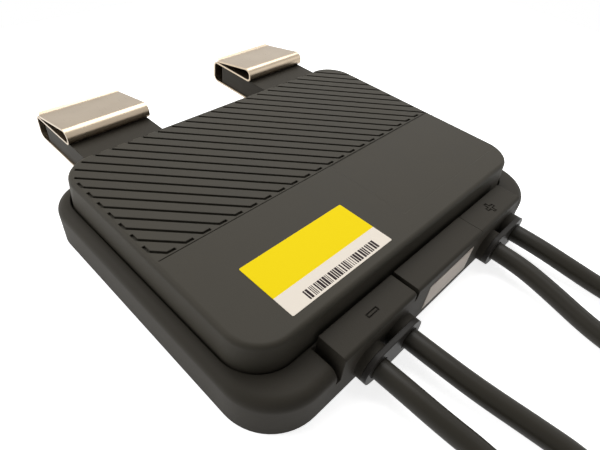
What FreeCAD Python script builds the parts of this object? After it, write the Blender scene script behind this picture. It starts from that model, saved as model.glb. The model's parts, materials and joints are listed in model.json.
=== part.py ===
# Solar power optimizer: a sealed flat box that clips behind a solar panel, with four cables.
# X runs along the cable side, Y from the cables to the spring clips, Z out of the ribbed cover.
# The origin is the centre of the flat back. Lengths are in millimetres.

import FreeCAD, Part
import math
import os
import Sketcher

V = FreeCAD.Vector
doc = FreeCAD.newDocument("power_optimizer")

# Driving dimensions: alias, value, what it is
SIZES = [
    ("base_width", 138.4, "housing across the cable side"),
    ("base_length", 105.6, "housing from the cable side to the back"),
    ("base_corner", 16.0, "corner radius of the housing"),
    ("base_rim", 13.5, "height of the shoulder round the cover"),
    ("rear_corner", 12.0, "corner radius of the housing beside the tongues"),
    ("base_round", 3.4, "rounding of the shoulder's outer edge"),
    ("base_floor", 2.0, "thickness of the back"),
    ("seat_height", 9.5, "height of the seat that the cover rests on"),
    ("cover_width", 128.4, "flat top of the cover, across"),
    ("cover_length", 91.9, "flat top of the cover, along"),
    ("cover_shift", 4.05, "cover's centre towards the clips"),
    ("cover_corner", 11.0, "corner radius of the cover"),
    ("cover_top", 22.9, "height of the cover's top above the back"),
    ("cover_draft", 0.9, "how far the cover's side leans out"),
    ("cover_round", 1.5, "rounding of the cover's top edge"),
    ("cover_skin", 2.4, "thickness of the cover's top"),
    ("cover_wall", 2.4, "thickness of the cover's side"),
    ("cover_gap", 0.35, "gap between the cover and the shoulder"),
    ("gasket_width", 1.4, "width of the sealing ring"),
    ("gasket_depth", 1.0, "height of the sealing ring"),
    ("rib_pitch", 5.76, "spacing of the slanting grooves along X"),
    ("groove_width", 0.9, "width of a groove"),
    ("groove_depth", 0.7, "depth of a groove"),
    ("groove_hook", 2.6, "length of the bent end of a groove"),
    ("groove_inset", 1.7, "grooves stay this far inside the flat top"),
    ("hatch_front", 36.0, "smooth strip in front of the grooves"),
    ("panel_depth", 0.25, "depth of the shallow panel on the smooth strip"),
    ("panel_width", 60.5, "shallow panel across"),
    ("panel_length", 31.0, "shallow panel along"),
    ("ledge_left", -45.0, "left end of the cable ledge"),
    ("ledge_right", 50.2, "right end of the cable ledge"),
    ("ledge_height", 17.0, "top of the negative and positive blocks"),
    ("ledge_step", 0.3, "how far the middle block stands higher"),
    ("ledge_setback", 0.0, "ledge front behind the housing's front"),
    ("ledge_round", 1.1, "rounding of the ledge's edges"),
    ("ledge_clear", 0.9, "dark gap between the ledge and the cover"),
    ("block_gap", 1.2, "groove between the negative and middle blocks"),
    ("block_gap_depth", 3.4, "depth of that groove"),
    ("block_line", 0.5, "width of the line between the middle and positive blocks"),
    ("middle_left", -13.4, "left end of the middle block"),
    ("middle_right", 22.7, "right end of the middle block"),
    ("corner_pocket", 1.9, "open notch beside the ledge's ends"),
    ("corner_pocket_floor", 8.0, "floor of that notch"),
    ("mark_length", 4.4, "length of a polarity mark"),
    ("mark_stroke", 1.4, "width of a polarity mark's bar"),
    ("mark_line", 0.4, "width of the sunk line round a polarity mark"),
    ("mark_depth", 0.4, "depth of a polarity mark"),
    ("cable_dia", 6.4, "outside of a cable"),
    ("cable_height", 5.9, "cable axis above the back, at the sleeves"),
    ("cable_pitch", 13.8, "spacing of the two cables of a pair"),
    ("negative_pair", -26.8, "middle of the negative pair"),
    ("positive_pair", 38.8, "middle of the positive pair"),
    ("sleeve_dia", 11.4, "outside of a cable sleeve"),
    ("sleeve_reach", 2.4, "sleeve out of the housing's front"),
    ("seal_dia", 9.0, "outside of a cable seal"),
    ("seal_length", 9.5, "length of a cable seal"),
    ("retainer_thick", 1.6, "thickness of a retainer plate"),
    ("retainer_hole", 7.0, "hole in a retainer plate"),
    ("tongue_pitch", 78.8, "spacing of the two mounting tongues"),
    ("tongue_width", 29.3, "width of a tongue"),
    ("tongue_top", 21.0, "top of a tongue above the back"),
    ("tongue_thick", 7.8, "thickness of a tongue"),
    ("tongue_reach", 26.7, "tongue past the back of the housing"),
    ("tongue_bolt", 8.4, "bolt hole in a tongue"),
    ("tongue_bolt_in", 12.0, "bolt hole from the tongue's end"),
    ("clip_width", 30.5, "width of a spring clip"),
    ("clip_sheet", 0.7, "thickness of the clip's sheet"),
    ("clip_nose", 5.4, "clip's bend past the tongue's end"),
    ("clip_leg", 22.0, "length of the lower leg"),
    ("clip_fold", 19.1, "fold of the clip from the tongue's end, inwards"),
    ("clip_rise", 5.0, "fold's height above the tongue"),
    ("clip_lip", 1.0, "leaf's tip above the middle leg"),
    ("clip_leaf_past", 3.6, "leaf's tip past the tongue's end"),
    ("clip_corner", 3.0, "rounded corners of the leaf"),
    ("label_width", 40.1, "front label across"),
    ("label_length", 19.85, "front label along"),
    ("label_left", -48.9, "left edge of the front label"),
    ("label_front", -38.2, "front edge of the front label"),
    ("label_thick", 0.12, "thickness of a label"),
    ("side_label_left", -6.0, "left edge of the side label"),
    ("side_label_width", 25.5, "side label across"),
    ("side_label_low", 2.8, "lower edge of the side label"),
    ("side_label_height", 10.0, "height of the side label"),
    ("board_side_gap", 5.7, "board's sides to the cavity's walls"),
    ("board_end_gap", 6.45, "board's ends to the cavity's walls"),
    ("board_thick", 1.6, "circuit board's thickness"),
    ("board_height", 5.6, "underside of the board above the back"),
    ("board_corner", 6.0, "corner radius of the board"),
    ("post_dia", 5.0, "board post"),
    ("post_inset", 6.0, "board post from the board's edges"),
    ("plate_width", 84.0, "heat spreader across"),
    ("plate_length", 52.0, "heat spreader along"),
    ("plate_thick", 1.5, "heat spreader's thickness"),
    ("potting_level", 9.4, "top of the potting above the back"),
    ("coil_mean", 64.0, "mean diameter of a wound cable"),
    ("plug_length", 27.0, "length of a connector's body"),
    ("plug_dia", 15.4, "outside of a connector's body"),
    ("nut_length", 21.0, "length of a connector's nut"),
    ("nut_dia", 18.6, "outside of a connector's nut"),
    ("nose_length", 12.0, "length of a connector's nose"),
    ("nose_dia", 11.0, "outside of a connector's nose"),
    ("pin_dia", 4.0, "contact pin of a connector"),
    ("arm_width", 6.4, "width of a snap arm"),
    ("arm_thick", 1.8, "thickness of a snap arm"),
    ("arm_past", 4.0, "snap arm past the connector's nose"),
    ("nose_wall", 1.4, "wall of a connector's nose"),
    ("nut_grips", 12, "grip flutes round a nut"),
    ("pin_length", 7.0, "contact inside the nose"),
    ("lead_in", 1.9, "cable's end inside the box"),
    ("barrel_dia", 5.2, "crimp barrel of a terminal"),
    ("barrel_length", 4.2, "length of the crimp barrel"),
    ("tab_width", 5.0, "tab of a terminal"),
    ("tab_thick", 0.8, "thickness of the tab"),
    ("tab_lap", 5.0, "tab's lap on the board"),
    ("pad_width", 60.0, "thermal pad across"),
    ("pad_length", 36.0, "thermal pad along"),
    ("choke_dia", 24.0, "outside of a choke"),
    ("choke_bore", 9.0, "hole through a choke"),
    ("choke_height", 11.0, "height of a choke"),
    ("choke_wire", 1.6, "thickness of the choke's winding"),
    ("can_dia", 10.0, "can capacitor"),
    ("can_tall", 12.0, "height of a can capacitor"),
    ("film_long", 18.0, "film capacitor across"),
    ("film_wide", 8.0, "film capacitor along"),
    ("film_tall", 10.0, "height of a film capacitor"),
    ("chip_side", 6.0, "side of a power transistor"),
    ("chip_tall", 1.1, "height of a flat component"),
    ("control_side", 9.0, "side of the control chip"),
    ("coupler_long", 13.0, "line coupler across"),
    ("coupler_wide", 10.0, "line coupler along"),
    ("coupler_tall", 8.0, "height of the line coupler"),
]

sheet = doc.addObject("Spreadsheet::Sheet", "Sizes")
S = {}
for row, (alias, value, meaning) in enumerate(SIZES, start=1):
    sheet.set("A%d" % row, alias)
    sheet.set("B%d" % row, repr(value))
    sheet.set("C%d" % row, meaning)
    sheet.setAlias("B%d" % row, alias)
    S[alias] = value
doc.recompute()


class Size:
    """The sizes by name, as numbers, for the outlines that are drawn point by point."""

    def __getattr__(self, alias):
        return S[alias]


s = Size()
parts = []


def bind(thing, prop, formula):
    """Tie a property to the sheet. A size in the formula is written as its bare alias."""
    words = formula.split(" ")
    thing.setExpression(prop, " ".join("Sizes." + w if w in S else w for w in words))


def finish_part(thing, label):
    thing.Label = label
    parts.append(thing)
    return thing


def new_body(name):
    return doc.addObject("PartDesign::Body", name)


def plane_of(body, role):
    return next(f for f in body.Origin.OriginFeatures if f.Role == role)


def sketch_on(body, name, role="XY_Plane", lift="0", turned=None):
    """A sketch on one of the body's own planes, lifted off it by a formula."""
    sk = body.newObject("Sketcher::SketchObject", name)
    sk.AttachmentSupport = [(plane_of(body, role), "")]
    sk.MapMode = "FlatFace"
    bind(sk, "AttachmentOffset.Base.z", lift)
    return sk


def rounded_rectangle(sk, width, length, radius, shift="0"):
    """A constrained rectangle with round corners, centred on the Y axis, each size a formula."""
    g = [sk.addGeometry(e, False) for e in (
        Part.LineSegment(V(-20, -30, 0), V(20, -30, 0)),
        Part.LineSegment(V(30, -20, 0), V(30, 20, 0)),
        Part.LineSegment(V(20, 30, 0), V(-20, 30, 0)),
        Part.LineSegment(V(-30, 20, 0), V(-30, -20, 0)),
    )]
    quarter = math.pi / 2
    centres = [(20, -20, 3), (20, 20, 0), (-20, 20, 1), (-20, -20, 2)]
    arcs = []
    for x, y, q in centres:
        circle = Part.Circle(V(x, y, 0), V(0, 0, 1), 10)
        arcs.append(sk.addGeometry(Part.ArcOfCircle(circle, q * quarter, (q + 1) * quarter), False))
    con = Sketcher.Constraint
    for i in range(4):
        sk.addConstraint(con("Tangent", g[i], 2, arcs[i], 1))
        sk.addConstraint(con("Tangent", arcs[i], 2, g[(i + 1) % 4], 1))
        if i:
            sk.addConstraint(con("Equal", arcs[0], arcs[i]))
    sk.addConstraint(con("Horizontal", g[2]))
    sk.addConstraint(con("Vertical", g[1]))
    sk.addConstraint(con("Vertical", g[3]))
    sk.addConstraint(con("Symmetric", g[0], 1, g[0], 2, -2))
    across = sk.addConstraint(con("DistanceX", g[3], 1, g[1], 1, 60))
    along = sk.addConstraint(con("DistanceY", g[0], 1, g[2], 1, 60))
    corner = sk.addConstraint(con("Radius", arcs[0], 10))
    front = sk.addConstraint(con("DistanceY", g[0], 1, -1, 1, 30))
    bind(sk, "Constraints[%d]" % across, width)
    bind(sk, "Constraints[%d]" % along, length)
    bind(sk, "Constraints[%d]" % corner, radius)
    bind(sk, "Constraints[%d]" % front, "( %s ) / 2 - ( %s )" % (length, shift))


def polygon(sk, points):
    """A closed outline through the points, in the sketch's own plane."""
    n = len(points)
    for i in range(n):
        a = V(points[i][0], points[i][1], 0)
        b = V(points[(i + 1) % n][0], points[(i + 1) % n][1], 0)
        sk.addGeometry(Part.LineSegment(a, b), False)


def rectangle(sk, x0, y0, x1, y1):
    polygon(sk, [(x0, y0), (x1, y0), (x1, y1), (x0, y1)])


def disc(sk, x, y, diameter):
    sk.addGeometry(Part.Circle(V(x, y, 0), V(0, 0, 1), diameter / 2), False)


def settle(body, made):
    """Work the feature out at once, so that a failure names the feature that failed."""
    doc.recompute()
    if "Invalid" in made.State or "Error" in made.State or not body.Shape.isValid():
        raise ValueError(made.Name + " failed")
    return made


def pad(body, sk, name, length, back=False):
    made = body.newObject("PartDesign::Pad", name)
    made.Profile = sk
    bind(made, "Length", length)
    made.Reversed = back
    return settle(body, made)


def pocket(body, sk, name, depth, back=False):
    """A cut along the sketch's normal, downwards unless back is set; it has to remove something."""
    before = body.Shape.Volume
    made = body.newObject("PartDesign::Pocket", name)
    made.Profile = sk
    bind(made, "Length", depth)
    made.Reversed = back
    settle(body, made)
    if not body.Shape.Volume < before - 1e-6:
        raise ValueError(name + " cuts nothing")
    return made


def edges_where(shape, test):
    return ["Edge%d" % (i + 1) for i, e in enumerate(shape.Edges) if test(e)]


def fillet(body, name, radius, test):
    """Round the edges of the body that pass the test."""
    base = body.Tip
    made = body.newObject("PartDesign::Fillet", name)
    made.Base = (base, edges_where(base.Shape, test))
    bind(made, "Radius", radius)
    return settle(body, made)


def at_height(edge, z):
    return abs(edge.BoundBox.ZMin - z) < 1e-4 and abs(edge.BoundBox.ZMax - z) < 1e-4


# Places that several pieces share
FRONT = -s.base_length / 2
BACK = s.base_length / 2
LEDGE_FRONT = FRONT + s.ledge_setback
COVER_FRONT = s.cover_shift - s.cover_length / 2
COVER_BACK = s.cover_shift + s.cover_length / 2
LEDGE_REAR = COVER_FRONT - s.cover_draft - s.ledge_clear
SLEEVE_FRONT = FRONT - s.sleeve_reach
EXIT = SLEEVE_FRONT - s.retainer_thick
CABLE_X = [
    s.negative_pair - s.cable_pitch / 2,
    s.negative_pair + s.cable_pitch / 2,
    s.positive_pair - s.cable_pitch / 2,
    s.positive_pair + s.cable_pitch / 2,
]
CABLE_NAMES = ["input_negative", "output_negative", "output_positive", "input_positive"]
TONGUE_X = [-s.tongue_pitch / 2, s.tongue_pitch / 2]
TONGUE_LOW = s.tongue_top - s.tongue_thick
TONGUE_END = BACK + s.tongue_reach
SIDES = ["left", "right"]

# The cavity and the board in it: first as formulas for the sheet, then as numbers
CAVITY_WIDTH = "cover_width + 2 * cover_draft - 2 * cover_wall"
CAVITY_LENGTH = "cover_length + 2 * cover_draft - 2 * cover_wall"
CAVITY_CORNER = "cover_corner + cover_draft - cover_wall"
BOARD_WIDTH = CAVITY_WIDTH + " - 2 * board_side_gap"
BOARD_LENGTH = CAVITY_LENGTH + " - 2 * board_end_gap"
CAVITY_WIDE = s.cover_width + 2 * s.cover_draft - 2 * s.cover_wall
CAVITY_LONG = s.cover_length + 2 * s.cover_draft - 2 * s.cover_wall
BOARD_WIDE = CAVITY_WIDE - 2 * s.board_side_gap
BOARD_LONG = CAVITY_LONG - 2 * s.board_end_gap
POST_X = BOARD_WIDE / 2 - s.post_inset
POST_Y = BOARD_LONG / 2 - s.post_inset


def ledge_profile(sk, height):
    """Side view of a ledge block: flat top, with the front edge rounded."""
    r = s.ledge_round
    sk.addGeometry(Part.LineSegment(V(LEDGE_FRONT, 0, 0), V(LEDGE_REAR, 0, 0)), False)
    sk.addGeometry(Part.LineSegment(V(LEDGE_REAR, 0, 0), V(LEDGE_REAR, height, 0)), False)
    sk.addGeometry(Part.LineSegment(V(LEDGE_REAR, height, 0), V(LEDGE_FRONT + r, height, 0)), False)
    circle = Part.Circle(V(LEDGE_FRONT + r, height - r, 0), V(0, 0, 1), r)
    sk.addGeometry(Part.ArcOfCircle(circle, math.pi / 2, math.pi), False)
    sk.addGeometry(Part.LineSegment(V(LEDGE_FRONT, height - r, 0), V(LEDGE_FRONT, 0, 0)), False)


# The housing: one moulding with the ledge, the cable sleeves and the two tongues
def housing():
    body = new_body("Housing")
    outline = sketch_on(body, "housing_outline")
    rounded_rectangle(outline, "base_width", "base_length", "base_corner")
    pad(body, outline, "housing_block", "base_rim")
    outline = sketch_on(body, "rear_outline")
    rounded_rectangle(outline, "base_width", "base_length / 2", "rear_corner", "base_length / 4")
    pad(body, outline, "rear_block", "base_rim")
    fillet(body, "shoulder", "base_round", lambda e: at_height(e, s.base_rim))

    # the ledge above the shoulder: negative, middle and positive blocks side by side
    blocks = [
        ("negative_block", s.ledge_left, s.middle_left, s.ledge_height),
        ("middle_block", s.middle_left, s.middle_right, s.ledge_height + s.ledge_step),
        ("positive_block", s.middle_right, s.ledge_right, s.ledge_height),
    ]
    for name, x0, x1, height in blocks:
        sk = sketch_on(body, name + "_profile", "YZ_Plane", "%r" % x0)
        ledge_profile(sk, height)
        pad(body, sk, name, "%r" % (x1 - x0))

    # the deep groove between the negative and middle blocks
    sk = sketch_on(body, "block_groove_outline", lift="ledge_height + ledge_step")
    rectangle(sk, s.middle_left - s.block_gap, LEDGE_FRONT - 1, s.middle_left, LEDGE_REAR + 1)
    pocket(body, sk, "block_groove", "ledge_step + block_gap_depth")

    # the fine line between the middle and positive blocks
    sk = sketch_on(body, "block_line_outline", lift="ledge_height + ledge_step")
    rectangle(sk, s.middle_right, LEDGE_FRONT - 1, s.middle_right + s.block_line, LEDGE_REAR + 1)
    pocket(body, sk, "block_line", "ledge_step + block_line")

    # open notches where the ledge's ends meet the corner shoulders
    sk = sketch_on(body, "corner_notch_outline", lift="ledge_height")
    rectangle(sk, s.ledge_left - s.corner_pocket, FRONT - 1, s.ledge_left, LEDGE_REAR)
    notch_end = s.ledge_right + s.corner_pocket
    polygon(sk, [(s.ledge_right, LEDGE_REAR), (s.ledge_right, LEDGE_REAR - 4.2), (notch_end + 3, LEDGE_REAR)])
    pocket(body, sk, "corner_notches", "ledge_height - corner_pocket_floor")

    # sleeves that the cables come out of
    sk = sketch_on(body, "sleeve_outline", "XZ_Plane", "- %r" % LEDGE_FRONT)
    for x in CABLE_X:
        disc(sk, x, s.cable_height, s.sleeve_dia)
    pad(body, sk, "sleeves", "sleeve_reach + ledge_setback")

    # mounting tongues on the back wall
    sk = sketch_on(body, "tongue_outline", lift="tongue_top")
    for x in TONGUE_X:
        half = s.tongue_width / 2
        rectangle(sk, x - half, COVER_BACK + s.cover_draft + s.cover_gap, x + half, TONGUE_END)
    pad(body, sk, "tongues", "tongue_thick", back=True)
    sk = sketch_on(body, "tongue_root_outline", lift="tongue_top")
    for x in TONGUE_X:
        half = s.tongue_width / 2
        rectangle(sk, x - half, COVER_BACK + s.cover_draft + s.cover_gap, x + half, BACK)
    pad(body, sk, "tongue_roots", "tongue_top - base_rim / 2", back=True)
    sk = sketch_on(body, "tongue_hole_outline", lift="tongue_top")
    for x in TONGUE_X:
        disc(sk, x, TONGUE_END - s.tongue_bolt_in, s.tongue_bolt)
    pocket(body, sk, "tongue_holes", "tongue_thick + 1")

    # recess for the cover, groove for the sealing ring, and the cavity
    sk = sketch_on(body, "recess_outline", lift="base_rim + 10")
    rounded_rectangle(
        sk,
        "cover_width + 2 * cover_draft + 2 * cover_gap",
        "cover_length + 2 * cover_draft + 2 * cover_gap",
        "cover_corner + cover_draft + cover_gap",
        "cover_shift",
    )
    pocket(body, sk, "cover_recess", "base_rim + 10 - seat_height")
    sk = sketch_on(body, "ring_groove_outline", lift="seat_height")
    ring = "cover_wall - gasket_width"
    rounded_rectangle(
        sk,
        "cover_width + 2 * cover_draft - ( %s )" % ring,
        "cover_length + 2 * cover_draft - ( %s )" % ring,
        "cover_corner + cover_draft - ( %s ) / 2" % ring,
        "cover_shift",
    )
    pocket(body, sk, "ring_groove", "gasket_depth")
    sk = sketch_on(body, "ring_inner_outline", lift="seat_height - gasket_depth")
    rounded_rectangle(
        sk,
        "cover_width + 2 * cover_draft - ( %s ) - 2 * gasket_width" % ring,
        "cover_length + 2 * cover_draft - ( %s ) - 2 * gasket_width" % ring,
        "cover_corner + cover_draft - ( %s ) / 2 - gasket_width" % ring,
        "cover_shift",
    )
    pad(body, sk, "ring_inner_wall", "gasket_depth")
    sk = sketch_on(body, "cavity_outline", lift="seat_height")
    rounded_rectangle(sk, CAVITY_WIDTH, CAVITY_LENGTH, CAVITY_CORNER, "cover_shift")
    pocket(body, sk, "cavity", "seat_height - base_floor")

    # bores for the cables' seals and leads
    sk = sketch_on(body, "seal_bore_outline", "XZ_Plane", "- %r" % SLEEVE_FRONT)
    for x in CABLE_X:
        disc(sk, x, s.cable_height, s.seal_dia)
    pocket(body, sk, "seal_bores", "seal_length")
    sk = sketch_on(body, "lead_bore_outline", "XZ_Plane", "- %r" % SLEEVE_FRONT)
    for x in CABLE_X:
        disc(sk, x, s.cable_height, s.cable_dia)
    pocket(body, sk, "lead_bores", "%r" % (COVER_FRONT - s.cover_draft + s.cover_wall + 1 - SLEEVE_FRONT))

    # posts that carry the circuit board
    sk = sketch_on(body, "post_outline", lift="base_floor / 2")
    for x in (-1, 1):
        for y in (-1, 1):
            disc(sk, x * POST_X, s.cover_shift + y * POST_Y, s.post_dia)
    pad(body, sk, "board_posts", "board_height - base_floor / 2")

    # polarity marks, drawn as outlines sunk in the blocks
    sk = sketch_on(body, "mark_outline", lift="ledge_height")
    middle = (LEDGE_FRONT + LEDGE_REAR) / 2
    for inset in (0, s.mark_line):
        half, thin = s.mark_length / 2 - inset, s.mark_stroke / 2 - inset
        x = s.negative_pair - 2.2
        rectangle(sk, x - half, middle - thin, x + half, middle + thin)
        x = s.positive_pair - 2.6
        cross = [(-half, -thin), (-thin, -thin), (-thin, -half), (thin, -half), (thin, -thin), (half, -thin)]
        cross += [(-a, -b) for a, b in cross]
        polygon(sk, [(x + a, middle + b) for a, b in cross])
    pocket(body, sk, "polarity_marks", "mark_depth")
    return finish_part(body, "housing")


def corner_arc_hit(total, centre_x, centre_y, radius, sign):
    """Where the line x + y = total meets a round corner, on the side that sign gives."""
    d = (total - centre_x - centre_y) / 2
    h = math.sqrt(max(radius * radius - 2 * d * d, 0)) / math.sqrt(2)
    return centre_x + d + sign * h, centre_y + d - sign * h


def groove_paths():
    """Centre lines of the slanting grooves on the cover, each a list of points."""
    half = s.cover_width / 2 - s.groove_inset
    top = COVER_BACK - s.groove_inset
    front = COVER_FRONT + s.hatch_front + 4
    round_in = s.cover_corner - s.groove_inset
    corner_x, corner_y = half - round_in, top - round_in
    first = -half + 3.4
    count = int((half + top - first - front) / s.rib_pitch)
    paths = []
    for j in range(count + 1):
        total = first + j * s.rib_pitch + front
        path = []
        if total + half <= corner_y:
            path += [(-half, total + half + s.groove_hook), (-half, total + half)]
        elif total - top < -corner_x:
            path.append(corner_arc_hit(total, -corner_x, corner_y, round_in, -1))
        else:
            path.append((total - top, top))
        if total - front + s.groove_hook <= half:
            path += [(total - front, front), (total - front + s.groove_hook, front)]
        elif total - half <= corner_y:
            path.append((half, total - half))
        else:
            path.append(corner_arc_hit(total, corner_x, corner_y, round_in, 1))
        (xa, ya), (xb, yb) = path[0], path[-1]
        if math.hypot(xb - xa, yb - ya) > 2 * s.groove_hook:
            paths.append(path)
    return paths


def strip(points, width):
    """The outline of a strip of that width along the points, with mitred corners."""
    left, right = [], []
    for i, (x, y) in enumerate(points):
        ways = []
        for a, b in ((i - 1, i), (i, i + 1)):
            if a >= 0 and b < len(points):
                dx, dy = points[b][0] - points[a][0], points[b][1] - points[a][1]
                ways.append((-dy / math.hypot(dx, dy), dx / math.hypot(dx, dy)))
        nx, ny = sum(w[0] for w in ways) / len(ways), sum(w[1] for w in ways) / len(ways)
        grow = width / 2 / (nx * nx + ny * ny)
        left.append((x + nx * grow, y + ny * grow))
        right.append((x - nx * grow, y - ny * grow))
    return left + right[::-1]


# The cover: a drafted lid with slanting grooves over half of its top
def cover():
    body = new_body("Cover")
    low = sketch_on(body, "cover_foot", lift="seat_height")
    rounded_rectangle(
        low,
        "cover_width + 2 * cover_draft",
        "cover_length + 2 * cover_draft",
        "cover_corner + cover_draft",
        "cover_shift",
    )
    shape = pad(body, low, "cover_shape", "cover_top - seat_height")
    bind(shape, "TaperAngle", "- atan( cover_draft / ( cover_top - seat_height ) )")
    settle(body, shape)
    fillet(body, "cover_edge", "cover_round", lambda e: at_height(e, s.cover_top))
    sk = sketch_on(body, "cover_inside", lift="seat_height")
    rounded_rectangle(sk, CAVITY_WIDTH, CAVITY_LENGTH, CAVITY_CORNER, "cover_shift")
    pocket(body, sk, "cover_hollow", "cover_top - cover_skin - seat_height", back=True)

    sk = sketch_on(body, "groove_outlines", lift="cover_top")
    for path in groove_paths():
        polygon(sk, strip(path, s.groove_width))
    pocket(body, sk, "grooves", "groove_depth")

    # a shallow panel on the smooth strip, beside the label
    sk = sketch_on(body, "panel_outline", lift="cover_top")
    right = s.cover_width / 2
    rear = COVER_FRONT + s.hatch_front + 3
    rectangle(sk, right - s.panel_width, rear - s.panel_length, right, rear)
    pocket(body, sk, "panel", "panel_depth")
    panel_rear = sketch_on(body, "panel_line_outline", lift="cover_top")
    left = -s.cover_width / 2 + s.groove_inset
    rectangle(panel_rear, left, rear - s.panel_depth, right - s.panel_width, rear)
    pocket(body, panel_rear, "panel_line", "panel_depth")

    # scallops in the back edge, over the tongues
    sk = sketch_on(body, "scallop_outline", lift="cover_top")
    half_mouth, half_root = 1.9, 1.3
    mouth, root = COVER_BACK + 1, COVER_BACK - 1.4
    for centre in TONGUE_X:
        for i in range(-2, 3):
            x = centre + i * s.rib_pitch
            left_side = [(x - half_mouth, mouth), (x - half_root, root)]
            polygon(sk, left_side + [(x + half_root, root), (x + half_mouth, mouth)])
    pocket(body, sk, "scallops", "cover_top - tongue_top + 0.4")
    return finish_part(body, "cover")


def gasket():
    body = new_body("Gasket")
    ring = "cover_wall - gasket_width"
    sk = sketch_on(body, "gasket_outline", lift="seat_height - gasket_depth")
    for inset in ("0", "2 * gasket_width"):
        rounded_rectangle(
            sk,
            "cover_width + 2 * cover_draft - ( %s ) - %s" % (ring, inset),
            "cover_length + 2 * cover_draft - ( %s ) - %s" % (ring, inset),
            "cover_corner + cover_draft - ( %s ) / 2 - %s / 2" % (ring, inset),
            "cover_shift",
        )
    pad(body, sk, "gasket_ring", "gasket_depth")
    return finish_part(body, "cover_gasket")


def retainer(label, centre):
    """A spectacle plate that holds two cable seals in their sleeves."""
    body = new_body(label.title().replace("_", ""))
    sk = sketch_on(body, label + "_outline", "XZ_Plane", "- %r" % SLEEVE_FRONT)
    r, gap = s.sleeve_dia / 2, s.cable_pitch / 2
    low, high = s.cable_height - r, s.cable_height + r
    for z in (low, high):
        sk.addGeometry(Part.LineSegment(V(centre - gap, z, 0), V(centre + gap, z, 0)), False)
    for side in (-1, 1):
        x = centre + side * gap
        sk.addGeometry(Part.Arc(V(x, low, 0), V(x + side * r, s.cable_height, 0), V(x, high, 0)), False)
        disc(sk, x, s.cable_height, s.retainer_hole)
    pad(body, sk, label + "_plate", "retainer_thick")
    return finish_part(body, label)


def clip_outline(sk):
    """Side view of a spring clip: a strip bent round the tongue and folded back over it."""
    t = s.clip_sheet
    low, mid = TONGUE_LOW - t / 2, s.tongue_top + t / 2
    nose, fold = TONGUE_END + s.clip_nose - t / 2, TONGUE_END - s.clip_fold
    path = [
        (TONGUE_END - s.clip_leg, low, 0),
        (nose, low, 2.2),
        (nose - 0.5, mid, 1.7),
        (fold, mid, 1.6),
        (fold + 0.3, mid + s.clip_rise, 2.5),
        (TONGUE_END + s.clip_leaf_past - 2.0, mid + s.clip_lip, 4.0),
        (TONGUE_END + s.clip_leaf_past, mid + s.clip_lip + 0.35, 0),
    ]
    chains = []
    for side in (1, -1):
        chains.append(offset_chain(path, side * t / 2))
    first, second = chains
    for chain in chains:
        for edge in chain:
            sk.addGeometry(edge, False)
    for a, b in ((first[0].StartPoint, second[0].StartPoint), (first[-1].EndPoint, second[-1].EndPoint)):
        sk.addGeometry(Part.LineSegment(a, b), False)


def offset_chain(path, shift):
    """Lines and arcs beside a path of (x, y, corner radius), shifted to its left."""
    pts = [V(x, y, 0) for x, y, _ in path]
    ways = [(pts[i + 1] - pts[i]).normalize() for i in range(len(pts) - 1)]
    start = pts[0] + V(-ways[0].y, ways[0].x, 0) * shift
    chain = []
    for i in range(1, len(pts) - 1):
        a, b = ways[i - 1], ways[i]
        turn = math.atan2(a.x * b.y - a.y * b.x, a.dot(b))
        radius = path[i][2]
        back = radius * math.tan(abs(turn) / 2)
        side = 1 if turn > 0 else -1
        enter, leave = pts[i] - a * back, pts[i] + b * back
        centre = enter + V(-a.y, a.x, 0) * (side * radius)
        spread = radius - side * shift
        mid_way = ((enter - centre).normalize() + (leave - centre).normalize()).normalize()
        p, m, q = (
            centre + (enter - centre).normalize() * spread,
            centre + mid_way * spread,
            centre + (leave - centre).normalize() * spread,
        )
        chain.append(Part.LineSegment(start, p))
        chain.append(Part.Arc(p, m, q))
        start = q
    chain.append(Part.LineSegment(start, pts[-1] + V(-ways[-1].y, ways[-1].x, 0) * shift))
    return chain


def clip(side, centre):
    """A spring clip, bent from one strip, pushed over a tongue."""
    body = new_body("Clip" + side.title())
    sk = sketch_on(body, side + "_clip_profile", "YZ_Plane", "%r" % (centre - s.clip_width / 2))
    clip_outline(sk)
    pad(body, sk, side + "_clip_strip", "clip_width")

    # the leaf's two free corners are rounded
    sk = sketch_on(body, side + "_leaf_corner_outline", lift="tongue_top + clip_rise + 4")
    tip, r = TONGUE_END + s.clip_leaf_past + 0.6, s.clip_corner
    for way in (-1, 1):
        x = centre + way * s.clip_width / 2
        bow = V(x - way * r * 0.2929, tip - r * 0.2929, 0)
        sk.addGeometry(Part.Arc(V(x - way * r, tip, 0), bow, V(x, tip - r, 0)), False)
        outside = [(x, tip - r), (x + way, tip - r), (x + way, tip + 1)]
        ring = outside + [(x - way * r, tip + 1), (x - way * r, tip)]
        for (xa, ya), (xb, yb) in zip(ring, ring[1:]):
            sk.addGeometry(Part.LineSegment(V(xa, ya, 0), V(xb, yb, 0)), False)
    pocket(body, sk, side + "_leaf_corners", "clip_rise + 4 - clip_sheet - 0.2")
    return finish_part(body, side + "_spring_clip")


def block(label, low, size):
    """A plain box by its low corner, each of its measures a formula."""
    made = doc.addObject("Part::Box", label.title().replace("_", ""))
    for prop, formula in zip(("Length", "Width", "Height"), size):
        bind(made, prop, formula)
    for axis, formula in zip("xyz", low):
        bind(made, "Placement.Base." + axis, formula)
    return made


def labels():
    front = block(
        "front_label",
        ("label_left", "label_front", "cover_top"),
        ("label_width", "label_length", "label_thick"),
    )
    finish_part(front, "front_label")
    side = block(
        "side_label",
        ("side_label_left", "- base_length / 2 + ledge_setback - label_thick", "side_label_low"),
        ("side_label_width", "label_thick", "side_label_height"),
    )
    finish_part(side, "side_label")


# Inside the box: heat spreader, board, and what is soldered to the board
BOARD_TOP = s.board_height + s.board_thick
MIDDLE_Y = s.cover_shift


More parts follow.
